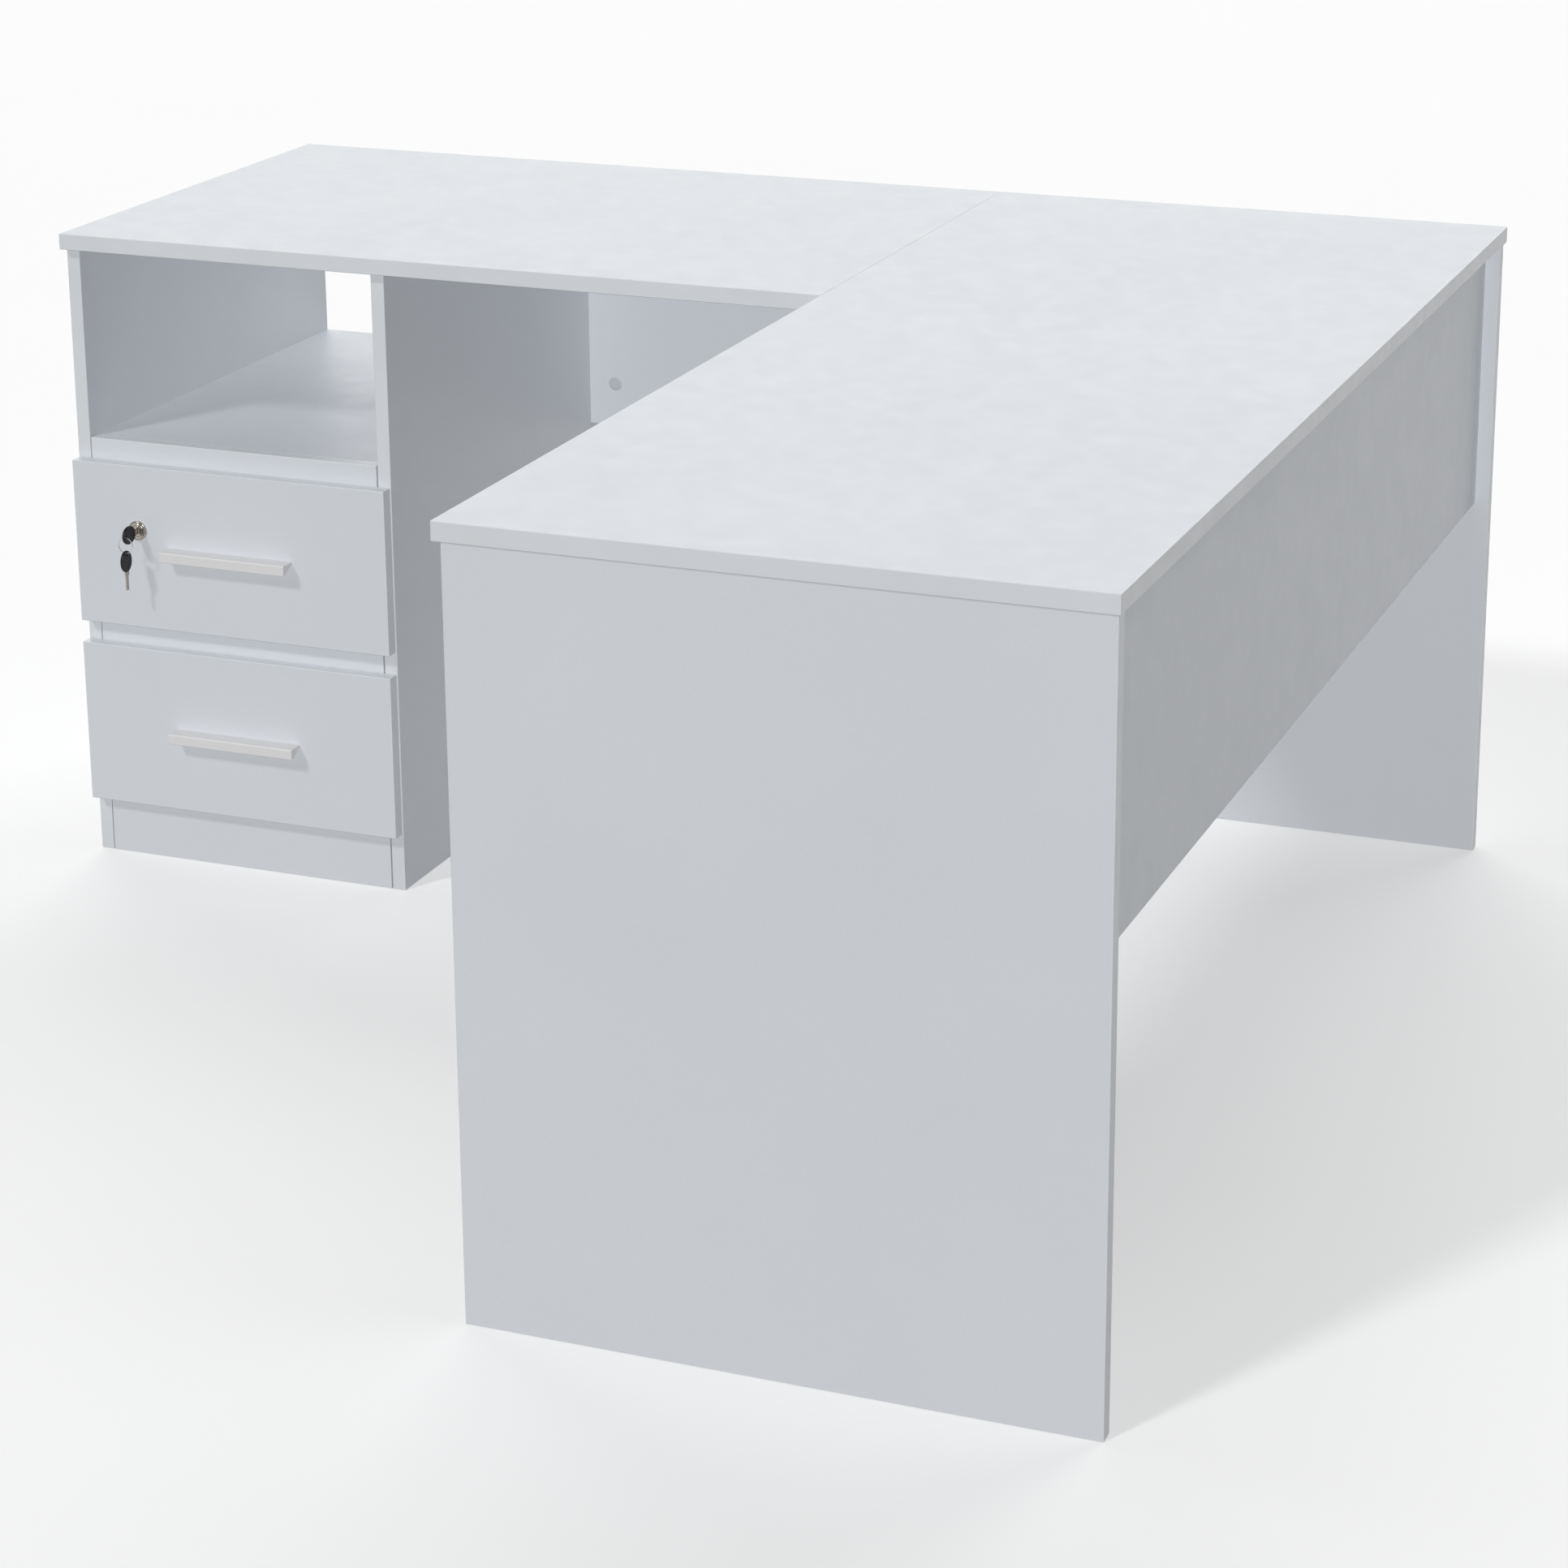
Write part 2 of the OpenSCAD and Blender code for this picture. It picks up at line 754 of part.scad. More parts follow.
module front_edging(front_bottom) {
    color(banding) bands_around(
        [front_x0, front_y0, front_bottom],
        [front_x1, front_y1, front_bottom + front_h],
        0,
        2
    );
}

module upper_front_edging() {
    front_edging(upper_front_z);
}

module lower_front_edging() {
    front_edging(front_z);
}

module box_board(lo, hi, front_bottom, box_z) {
    color(melamine) difference() {
        block(lo, hi);
        drawer_bottom_space(box_z, groove_play);
        drawer_holes(front_bottom, box_z);
        lock_hole();
    }
}

module drawer_sides(front_bottom, box_z) {
    for (x = [box_x0, box_x1 - box_t])
        box_board([x, front_y1, box_z], [x + box_t, box_y1, box_z + box_h], front_bottom, box_z);
}

module upper_drawer_sides() {
    drawer_sides(upper_front_z, upper_box_z);
}

module lower_drawer_sides() {
    drawer_sides(front_z, lower_box_z);
}

module cross_board(start, front_bottom, box_z) {
    box_board(
        [box_x0 + box_t, start, box_z],
        [box_x1 - box_t, start + box_t, box_z + box_h],
        front_bottom,
        box_z
    );
}

module upper_drawer_inner_front() {
    cross_board(front_y1, upper_front_z, upper_box_z);
}

module lower_drawer_inner_front() {
    cross_board(front_y1, front_z, lower_box_z);
}

module upper_drawer_back() {
    cross_board(box_y1 - box_t, upper_front_z, upper_box_z);
}

module lower_drawer_back() {
    cross_board(box_y1 - box_t, front_z, lower_box_z);
}

module upper_drawer_bottom() {
    color(hardboard) drawer_bottom_space(upper_box_z, 0);
}

module lower_drawer_bottom() {
    color(hardboard) drawer_bottom_space(lower_box_z, 0);
}

// Handle: a plate standing out from the front, a lip turned down, closed ends and two screw bosses
module handle(front_bottom) {
    top_z = front_bottom + front_h / 2 + handle_rise;
    lip_t = handle_t + 0.5;
    color(ivory) translate([handle_x, front_y0, top_z]) difference() {
        union() {
            translate([-handle_l / 2, 0, 0]) rotate([90, 0, 90]) linear_extrude(handle_l) polygon([
                [0, 0], [-handle_d, 0], [-handle_d, -handle_h], [-handle_d + handle_t, -handle_h],
                [-handle_d + lip_t, -handle_t], [0, -handle_t]
            ]);
            for (x = [-handle_l / 2, handle_l / 2 - handle_t])
                translate([x, 0, 0]) rotate([90, 0, 90]) linear_extrude(handle_t) polygon([
                    [0, 0], [-handle_d, 0], [-handle_d, -handle_h], [-handle_d + handle_t, -handle_h],
                    [0, -handle_t]
                ]);
            for (dx = [-handle_pitch / 2, handle_pitch / 2])
                peg([dx, 0, -handle_screw_drop], [0, -1, 0], boss_r, 0, boss_l);
        }
        for (dx = [-handle_pitch / 2, handle_pitch / 2])
            peg([dx, 0, -handle_screw_drop], [0, -1, 0], handle_screw_r + play, 1, boss_l - 1.5);
    }
}

module upper_drawer_handle() {
    handle(upper_front_z);
}

module lower_drawer_handle() {
    handle(front_z);
}

module handle_screws(front_bottom) {
    color(zinc) for (point = handle_screws_at(front_bottom))
        screw(point, [0, -1, 0], box_t + board_t + boss_l - 2, handle_screw_r);
}

module upper_handle_screws() {
    handle_screws(upper_front_z);
}

module lower_handle_screws() {
    handle_screws(front_z);
}

module drawer_screws(box_z) {
    color(zinc) for (place = box_screws_at(box_z)) screw(place[0], place[1], drawer_screw_l);
}

module upper_drawer_screws() {
    drawer_screws(upper_box_z);
}

module lower_drawer_screws() {
    drawer_screws(lower_box_z);
}

// Lock of the upper drawer and its keys

module on_lock(y) {
    translate([lock_px, y, lock_pz]) rotate([-90, 0, 0]) children();
}

module lock_housing() {
    color(nickel) difference() {
        union() {
            on_lock(housing_y0) cylinder(r1 = bezel_r - 1, r2 = bezel_r, h = 1);
            on_lock(housing_y0 + 1) cylinder(r = bezel_r, h = bezel_h - 1);
            on_lock(housing_y0 + 1) cylinder(r = lock_r, h = cam_y0 - 0.5 - housing_y0 - 1);
        }
        on_lock(housing_y0 - 1) cylinder(r = plug_r + 0.06, h = cam_y0 - housing_y0 + 2);
    }
}

module lock_nut() {
    color(zinc) difference() {
        on_lock(inner_y) cylinder(r = 14, h = nut_h, $fn = 6);
        on_lock(inner_y - 1) cylinder(r = lock_r + play, h = nut_h + 2);
    }
}

module lock_plug() {
    slot_t = blade_t + 2 * keyway_play;
    slot_h = blade_h + 2 * keyway_play;
    color(nickel) difference() {
        union() {
            on_lock(plug_y0) cylinder(r = plug_r, h = cam_y0 - plug_y0);
            on_lock(cam_y0) cylinder(r = tang_r, h = cam_t + 1);
        }
        translate([lock_px - slot_t / 2, plug_y0 - 1, lock_pz - slot_h / 2])
            cube([slot_t, key_reach + 2, slot_h]);
    }
}

module lock_cam() {
    color(zinc) difference() {
        translate([lock_px, cam_y0, lock_pz]) rotate([-90, 0, 0]) linear_extrude(cam_t) {
            circle(r = 8);
            translate([0, -6]) square([cam_reach - 6, 12]);
            translate([cam_reach - 6, 0]) circle(r = 6);
        }
        on_lock(cam_y0 - 1) cylinder(r = tang_r + 0.05, h = cam_t + 2);
    }
}

// A key with its head's middle at the origin, its blade along +Z, its flat faces towards X
module key_metal() {
    blade_l = key_reach + blade_out;
    translate([-blade_t / 2, -blade_h / 2, head_l / 2 - tang_in]) cube([blade_t, blade_h, tang_in]);
    translate([-blade_t / 2, -collar_h / 2, head_l / 2]) cube([blade_t, collar_h, collar_l]);
    difference() {
        translate([-blade_t / 2, -blade_h / 2, head_l / 2]) cube([blade_t, blade_h, blade_l]);
        for (notch = [0:3])
            translate([0, -blade_h / 2 - 0.6, head_l / 2 + 8 + 3.2 * notch]) rotate([0, 45, 90])
                translate([-1, -2, -1]) cube([2, 4, 2]);
    }
}

module key_grip() {
    difference() {
        translate([-head_t / 2, 0, 0]) rotate([0, 90, 0]) linear_extrude(head_t) polygon([
            for (step = [0:59]) [head_l / 2 * cos(6 * step), head_w / 2 * sin(6 * step)]
        ]);
        translate([-blade_t / 2, -blade_h / 2, head_l / 2 - tang_in]) cube([blade_t, blade_h, tang_in + 1]);
        peg([0, 0, -head_hole_at], [1, 0, 0], head_hole_r, head_t, head_t);
    }
}

module key_place() {
    translate([lock_px, head_y, lock_pz]) rotate([-90, 0, 0]) children();
}

module spare_key_place() {
    translate([lock_px, hole_y, spare_z]) rotate([180, 0, 0]) children();
}

module key_blade() {
    color(nickel) key_place() key_metal();
}

module key_head() {
    color(black) key_place() key_grip();
}

module key_ring() {
    color(zinc) translate([lock_px, hole_y, ring_z]) rotate([90, 0, 0])
        rotate_extrude() translate([ring_r, 0]) circle(r = wire_r);
}

module spare_key_blade() {
    color(nickel) spare_key_place() key_metal();
}

module spare_key_head() {
    color(black) spare_key_place() key_grip();
}

main_top();
main_top_edging();
return_top();
return_top_edging();
near_end_panel();
far_end_panel();
main_modesty_panel();
return_modesty_panel();
panel_edging();
pedestal_left_side();
pedestal_right_side();
pedestal_shelf();
pedestal_bottom();
pedestal_back();
pedestal_upper_rail();
pedestal_middle_rail();
pedestal_plinth();
pedestal_edging();
cam_locks();
cam_bolts();
cam_cover_caps();
wood_dowels();
joining_plates();
joining_plate_screws();
lap_screws();
slide_cabinet_members();
slide_cabinet_screws();
upper_slide_middle_members();
lower_slide_middle_members();
upper_slide_drawer_members();
lower_slide_drawer_members();
upper_slide_drawer_screws();
lower_slide_drawer_screws();
upper_drawer_front();
lower_drawer_front();
upper_front_edging();
lower_front_edging();
upper_drawer_sides();
lower_drawer_sides();
upper_drawer_inner_front();
lower_drawer_inner_front();
upper_drawer_back();
lower_drawer_back();
upper_drawer_bottom();
lower_drawer_bottom();
upper_drawer_handle();
lower_drawer_handle();
upper_handle_screws();
lower_handle_screws();
upper_drawer_screws();
lower_drawer_screws();
lock_housing();
lock_nut();
lock_plug();
lock_cam();
key_blade();
key_head();
key_ring();
spare_key_blade();
spare_key_head();
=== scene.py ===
"""Corner desk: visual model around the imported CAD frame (Blender 4.5, metres)."""
import json
import math

import bmesh
import bpy
from mathutils import Matrix, Vector


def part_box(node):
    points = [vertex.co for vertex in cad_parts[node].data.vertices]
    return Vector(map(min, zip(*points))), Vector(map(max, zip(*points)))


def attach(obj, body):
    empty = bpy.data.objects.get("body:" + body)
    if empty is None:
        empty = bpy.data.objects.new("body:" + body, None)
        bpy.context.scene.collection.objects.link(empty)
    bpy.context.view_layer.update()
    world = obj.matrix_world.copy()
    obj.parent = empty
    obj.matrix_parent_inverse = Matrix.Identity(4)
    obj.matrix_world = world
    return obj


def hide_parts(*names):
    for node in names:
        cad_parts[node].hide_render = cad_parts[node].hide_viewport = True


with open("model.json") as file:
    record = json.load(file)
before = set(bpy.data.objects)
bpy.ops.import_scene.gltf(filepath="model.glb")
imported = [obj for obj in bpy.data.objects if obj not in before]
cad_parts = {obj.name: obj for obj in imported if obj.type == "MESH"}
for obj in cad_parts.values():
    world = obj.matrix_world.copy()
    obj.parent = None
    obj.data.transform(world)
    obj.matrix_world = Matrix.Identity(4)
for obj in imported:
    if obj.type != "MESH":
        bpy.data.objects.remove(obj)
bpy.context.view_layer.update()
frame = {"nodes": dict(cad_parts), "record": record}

MM = 0.001
X, Y, Z = 0, 1, 2
MIX_A, MIX_B, MIX_RESULT = 6, 7, 2      # the Mix node's colour sockets
NOISE_LOW, NOISE_HIGH = 0.3, 0.7        # the range that noise mostly stays in
WELD = 2e-6                             # points closer than this are one point
ON_PLANE = 2e-5                         # an edge this near a plane lies on it


# ---------------------------------------------------------------- node helpers

def new_material(name):
    mat = bpy.data.materials.new(name)
    mat.use_nodes = True
    tree = mat.node_tree
    tree.nodes.clear()
    out = tree.nodes.new("ShaderNodeOutputMaterial")
    bsdf = tree.nodes.new("ShaderNodeBsdfPrincipled")
    tree.links.new(bsdf.outputs["BSDF"], out.inputs["Surface"])
    return mat, tree, bsdf


def coords(tree, stretch=(1.0, 1.0, 1.0)):
    tc = tree.nodes.new("ShaderNodeTexCoord")
    mapping = tree.nodes.new("ShaderNodeMapping")
    mapping.inputs["Scale"].default_value = stretch
    tree.links.new(tc.outputs["Object"], mapping.inputs["Vector"])
    return mapping.outputs["Vector"]


def noise(tree, vector, scale, detail=2.0, roughness=0.5):
    node = tree.nodes.new("ShaderNodeTexNoise")
    node.inputs["Scale"].default_value = scale
    node.inputs["Detail"].default_value = detail
    node.inputs["Roughness"].default_value = roughness
    tree.links.new(vector, node.inputs["Vector"])
    return node.outputs["Fac"]


def ramp(tree, value, stops):
    node = tree.nodes.new("ShaderNodeValToRGB")
    els = node.color_ramp.elements
    while len(els) > 1:
        els.remove(els[-1])
    for i, (pos, col) in enumerate(stops):
        el = els[0] if i == 0 else els.new(pos)
        el.position = pos
        el.color = (*col, 1.0)
    tree.links.new(value, node.inputs["Fac"])
    return node.outputs["Color"]


def spread(tree, value, low, high):
    node = tree.nodes.new("ShaderNodeMapRange")
    node.inputs["From Min"].default_value = NOISE_LOW
    node.inputs["From Max"].default_value = NOISE_HIGH
    node.inputs["To Min"].default_value = low
    node.inputs["To Max"].default_value = high
    tree.links.new(value, node.inputs["Value"])
    return node.outputs["Result"]


def multiply(tree, a, b):
    node = tree.nodes.new("ShaderNodeMix")
    node.data_type = "RGBA"
    node.blend_type = "MULTIPLY"
    node.inputs["Factor"].default_value = 1.0
    tree.links.new(a, node.inputs[MIX_A])
    tree.links.new(b, node.inputs[MIX_B])
    return node.outputs[MIX_RESULT]


def bump(tree, bsdf, layers):
    """Stack of bump nodes: (height socket, distance in metres, strength)."""
    normal = None
    for height, distance, strength in layers:
        node = tree.nodes.new("ShaderNodeBump")
        node.inputs["Distance"].default_value = distance
        node.inputs["Strength"].default_value = strength
        tree.links.new(height, node.inputs["Height"])
        if normal is not None:
            tree.links.new(normal, node.inputs["Normal"])
        normal = node.outputs["Normal"]
    tree.links.new(normal, bsdf.inputs["Normal"])


def tint(colour, k):
    return tuple(min(1.0, c * k) for c in colour)


# ---------------------------------------------------------------- materials

def melamine(name, colour, rough=(0.40, 0.50)):
    """Melamine faced board: faint clouding, fine pearl texture, soft waviness."""
    mat, tree, bsdf = new_material(name)
    v = coords(tree)
    cloud = noise(tree, v, 3.2, 3.0, 0.55)
    fleck = noise(tree, v, 620.0, 2.0, 0.6)
    base = ramp(tree, cloud, [(0.30, tint(colour, 0.985)), (0.70, tint(colour, 1.012))])
    speck = ramp(tree, fleck, [(0.28, (0.955, 0.96, 0.965)), (0.42, (1.0, 1.0, 1.0))])
    tree.links.new(multiply(tree, base, speck), bsdf.inputs["Base Color"])
    tree.links.new(spread(tree, noise(tree, v, 45.0, 3.0), *rough), bsdf.inputs["Roughness"])
    bsdf.inputs["Specular IOR Level"].default_value = 0.42
    pearl = noise(tree, v, 1400.0, 2.0, 0.6)
    wave = noise(tree, v, 26.0, 1.0)
    bump(tree, bsdf, [(wave, 0.0004, 0.10), (pearl, 0.00006, 0.35)])
    return mat


def edge_band(name, colour):
    """Extruded edge banding: slightly glossier, with faint lengthwise drag lines."""
    mat, tree, bsdf = new_material(name)
    v = coords(tree)
    lines = noise(tree, coords(tree, (1.0, 1.0, 260.0)), 9.0, 3.0, 0.6)
    cloud = noise(tree, v, 14.0, 2.0)
    base = ramp(tree, cloud, [(0.30, tint(colour, 0.975)), (0.70, tint(colour, 1.015))])
    tree.links.new(base, bsdf.inputs["Base Color"])
    tree.links.new(spread(tree, noise(tree, v, 60.0, 2.0), 0.30, 0.40), bsdf.inputs["Roughness"])
    bsdf.inputs["Specular IOR Level"].default_value = 0.5
    grain = noise(tree, v, 900.0, 2.0)
    bump(tree, bsdf, [(lines, 0.00005, 0.25), (grain, 0.00004, 0.3)])
    return mat


def thin_board(name, colour):
    """White coated fibreboard: faint fibres under the coat."""
    mat, tree, bsdf = new_material(name)
    v = coords(tree)
    fibres = noise(tree, coords(tree, (1.0, 6.0, 1.0)), 160.0, 4.0, 0.7)
    base = ramp(tree, fibres, [(0.30, tint(colour, 0.95)), (0.62, colour)])
    tree.links.new(base, bsdf.inputs["Base Color"])
    tree.links.new(spread(tree, noise(tree, v, 30.0), 0.45, 0.6), bsdf.inputs["Roughness"])
    bump(tree, bsdf, [(fibres, 0.00008, 0.35)])
    return mat


def zinc_steel(name, colour=(0.62, 0.64, 0.66)):
    """Zinc plated steel: faint spangle and rolling lines."""
    mat, tree, bsdf = new_material(name)
    v = coords(tree)
    cell = tree.nodes.new("ShaderNodeTexVoronoi")
    cell.inputs["Scale"].default_value = 240.0
    tree.links.new(v, cell.inputs["Vector"])
    stops = [(0.0, tint(colour, 0.86)), (0.6, tint(colour, 1.08))]
    spangle = ramp(tree, cell.outputs["Distance"], stops)
    tree.links.new(spangle, bsdf.inputs["Base Color"])
    bsdf.inputs["Metallic"].default_value = 1.0
    tree.links.new(spread(tree, noise(tree, v, 300.0, 3.0), 0.28, 0.46), bsdf.inputs["Roughness"])
    rolled = noise(tree, coords(tree, (40.0, 1.0, 40.0)), 60.0, 2.0)
    bump(tree, bsdf, [(rolled, 0.00004, 0.3)])
    return mat


def nickel(name):
    """Nickel plate, slightly dulled by handling, with tiny pits."""
    mat, tree, bsdf = new_material(name)
    v = coords(tree)
    worn = noise(tree, v, 420.0, 4.0, 0.7)
    base = ramp(tree, worn, [(0.34, (0.34, 0.31, 0.27)), (0.66, (0.52, 0.49, 0.45))])
    tree.links.new(base, bsdf.inputs["Base Color"])
    bsdf.inputs["Metallic"].default_value = 1.0
    tree.links.new(spread(tree, worn, 0.14, 0.34), bsdf.inputs["Roughness"])
    pits = noise(tree, v, 1500.0, 3.0, 0.7)
    bump(tree, bsdf, [(pits, 0.00008, 0.5)])
    return mat


def plastic(name, colour, rough, grain_scale=1500.0, grain=0.00005, coat=0.0,
            contrast=0.02, specular=0.5):
    """Moulded plastic with a fine spark-eroded grain; grain is its height in metres."""
    mat, tree, bsdf = new_material(name)
    v = coords(tree)
    cloud = noise(tree, v, 55.0, 2.0)
    stops = [(0.30, tint(colour, 1 - contrast)), (0.70, tint(colour, 1 + contrast))]
    base = ramp(tree, cloud, stops)
    tree.links.new(base, bsdf.inputs["Base Color"])
    tree.links.new(spread(tree, noise(tree, v, 380.0, 2.0), *rough), bsdf.inputs["Roughness"])
    bsdf.inputs["Specular IOR Level"].default_value = specular
    bsdf.inputs["Coat Weight"].default_value = coat
    bsdf.inputs["Coat Roughness"].default_value = 0.2
    texture = noise(tree, v, grain_scale, 2.0, 0.6)
    bump(tree, bsdf, [(texture, grain, 0.4)])
    return mat


def beech(name):
    """Turned beech: pale flecks along the grain."""
    mat, tree, bsdf = new_material(name)
    v = coords(tree)
    flecks = noise(tree, coords(tree, (8.0, 8.0, 1.0)), 90.0, 4.0, 0.65)
    base = ramp(tree, flecks, [(0.32, (0.42, 0.28, 0.15)), (0.62, (0.66, 0.50, 0.31))])
    tree.links.new(base, bsdf.inputs["Base Color"])
    tree.links.new(spread(tree, flecks, 0.5, 0.7), bsdf.inputs["Roughness"])
    bump(tree, bsdf, [(noise(tree, v, 700.0, 3.0), 0.00006, 0.4)])
    return mat


def floor_material(name, colour):
    """Plain matt floor, faintly emissive so that its shadows stay pale."""
    mat, tree, bsdf = new_material(name)
    v = coords(tree)
    stops = [(0.30, tint(colour, 0.995)), (0.70, tint(colour, 1.003))]
    base = ramp(tree, noise(tree, v, 1.2, 3.0), stops)
    tree.links.new(base, bsdf.inputs["Base Color"])
    bsdf.inputs["Roughness"].default_value = 0.9
    bsdf.inputs["Specular IOR Level"].default_value = 0.1
    bsdf.inputs["Emission Color"].default_value = (1.0, 1.0, 1.0, 1.0)
    bsdf.inputs["Emission Strength"].default_value = 0.16
    return mat


BOARD = (0.593, 0.618, 0.651)
BAND = (0.603, 0.627, 0.652)
MATERIALS = {
    "melamine_board": melamine("melamine", BOARD),
    "edge_band": edge_band("edge_banding", BAND),
    "thin_board": thin_board("coated_fibreboard", (0.62, 0.64, 0.64)),
    "zinc_steel": zinc_steel("zinc_plated_steel"),
    "dowel_wood": beech("beech_dowel"),
    "cap_plastic": plastic("cap_grey_plastic", (0.46, 0.48, 0.50), (0.42, 0.52)),
    "handle_plastic": plastic("handle_off_white", (0.635, 0.632, 0.636), (0.30, 0.38),
                              grain_scale=900.0, grain=0.00001, coat=0.2, contrast=0.010),
    "nickel": nickel("nickel_plate"),
    "key_plastic": plastic("key_black_plastic", (0.008, 0.008, 0.010), (0.36, 0.48),
                           grain_scale=1300.0, grain=0.00008, contrast=0.2, specular=0.3),
}
SLOT_OF = {s["node"]: s["material_slot"] for s in frame["record"]["subparts"]}
BODY_OF = {n: b for b, names in frame["record"]["behaviour"]["bodies"].items() for n in names}


def dress(obj, slot):
    obj.data.materials.clear()
    obj.data.materials.append(MATERIALS[slot])


for node_name, node_obj in frame["nodes"].items():
    dress(node_obj, SLOT_OF[node_name])


# ---------------------------------------------------------------- mesh helpers

def finish_piece(bm, name, stands_for, smooth_angle=35.0):
    """Turn a bmesh into a piece that replaces CAD nodes and rides on their body."""
    bmesh.ops.remove_doubles(bm, verts=bm.verts, dist=1e-7)
    bmesh.ops.recalc_face_normals(bm, faces=bm.faces)
    mesh = bpy.data.meshes.new(name)
    bm.to_mesh(mesh)
    bm.free()
    for poly in mesh.polygons:
        poly.use_smooth = True
    mesh.set_sharp_from_angle(angle=math.radians(smooth_angle))
    obj = bpy.data.objects.new(name, mesh)
    bpy.context.scene.collection.objects.link(obj)
    weighted = obj.modifiers.new("weighted", "WEIGHTED_NORMAL")
    weighted.keep_sharp = True
    slot = SLOT_OF[stands_for[0]]
    dress(obj, slot)
    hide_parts(*stands_for)
    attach(obj, BODY_OF[stands_for[0]])
    return obj


def add_box(bm, lo, hi):
    verts = bmesh.ops.create_cube(bm, size=1.0)["verts"]
    size = Vector(hi) - Vector(lo)
    centre = (Vector(hi) + Vector(lo)) / 2
    for v in verts:
        v.co = Vector(v.co[k] * size[k] for k in range(3)) + centre


def on_two_planes(edge, lo, hi):
    """True for an edge that lies where two outer faces of the board meet."""
    hits = 0
    for k in range(3):
        for plane in (lo[k], hi[k]):
            if all(abs(v.co[k] - plane) < ON_PLANE for v in edge.verts):
                hits += 1
    return hits >= 2


EDGE_T = 1.0 * MM
EDGE_R = 0.8 * MM


def grown(node, grow):
    """A core board's box with its edge banding added: grow = [(axis, side), ...]."""
    lo, hi = (list(c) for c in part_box(node))
    for axis, side in grow:
        if side < 0:
            lo[axis] -= EDGE_T
        else:
            hi[axis] += EDGE_T
    return lo, hi


def banding(name, boards):
    """Edge banding strips with rounded outer corners.

    boards = [(lo, hi, [(axis, side), ...], blunt axes), ...]; strips on the axis named first
    run the whole length, and the others fit between them."""
    bm = bmesh.new()
    for lo, hi, sides, blunt in boards:
        first = sides[0][0]
        for axis, side in sides:
            s_lo, s_hi = list(lo), list(hi)
            if side > 0:
                s_lo[axis] = hi[axis] - EDGE_T
            else:
                s_hi[axis] = lo[axis] + EDGE_T
            if axis != first:
                for other_axis, other_side in sides:
                    if other_axis == first:
                        if other_side > 0:
                            s_hi[first] = hi[first] - EDGE_T
                        else:
                            s_lo[first] = lo[first] + EDGE_T
            part = bmesh.new()
            add_box(part, s_lo, s_hi)
            part.edges.ensure_lookup_table()
            rounded = []
            for e in part.edges:
                if not on_two_planes(e, lo, hi):
                    continue
                mid = (e.verts[0].co + e.verts[1].co) / 2
                if any(abs(mid[k] - p) < ON_PLANE for k in blunt for p in (lo[k], hi[k])):
                    continue
                rounded.append(e)
            if rounded:
                bmesh.ops.bevel(part, geom=rounded, offset=EDGE_R, segments=4, profile=0.5,
                                affect="EDGES")
            copy = bpy.data.meshes.new("strip")
            part.to_mesh(copy)
            part.free()
            bm.from_mesh(copy)
            bpy.data.meshes.remove(copy)
    return finish_piece(bm, name, [name.replace("_rounded", "")])


for top in ("main_top_edging", "return_top_edging"):
    lo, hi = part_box(top)
    banding(top + "_rounded", [(list(lo), list(hi), [(X, -1), (X, 1), (Y, -1), (Y, 1)], ())])
for front in ("upper_front_edging", "lower_front_edging"):
    lo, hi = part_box(front)
    banding(front + "_rounded", [(list(lo), list(hi), [(X, -1), (X, 1), (Z, -1), (Z, 1)], ())])

near = grown("near_end_panel", [(X, -1), (X, 1)])
far = grown("far_end_panel", [(X, -1), (X, 1)])
main_modesty = grown("main_modesty_panel", [(Z, -1)])
return_modesty = grown("return_modesty_panel", [(Z, -1), (X, 1)])
banding("panel_edging_rounded", [
    (*near, [(X, -1), (X, 1)], (Z,)),
    (*far, [(X, -1), (X, 1)], (Z,)),
    (*main_modesty, [(Z, -1)], (Y,)),
    (*return_modesty, [(X, 1), (Z, -1)], ()),
])
left = grown("pedestal_left_side", [(Y, -1), (Y, 1)])
right = grown("pedestal_right_side", [(Y, -1), (Y, 1)])
shelf = grown("pedestal_shelf", [(Y, 1)])
bottom = grown("pedestal_bottom", [(Y, 1)])
rail = grown("pedestal_upper_rail", [(Z, 1)])
banding("pedestal_edging_rounded", [
    (*left, [(Y, -1), (Y, 1)], (Z,)),
    (*right, [(Y, -1), (Y, 1)], (Z,)),
    (*shelf, [(Y, 1)], (X,)),
    (*bottom, [(Y, 1)], (X,)),
    (*rail, [(Z, 1)], (X,)),
])


# ---------------------------------------------------------------- turned and copied pieces

def cad_copy(node):
    """The CAD node's own mesh with its flat faces merged, to be rounded."""
    bm = bmesh.new()
    bm.from_mesh(frame["nodes"][node].data)
    bmesh.ops.remove_doubles(bm, verts=bm.verts, dist=WELD)
    bmesh.ops.dissolve_limit(bm, angle_limit=math.radians(0.8), verts=bm.verts, edges=bm.edges)
    return bm


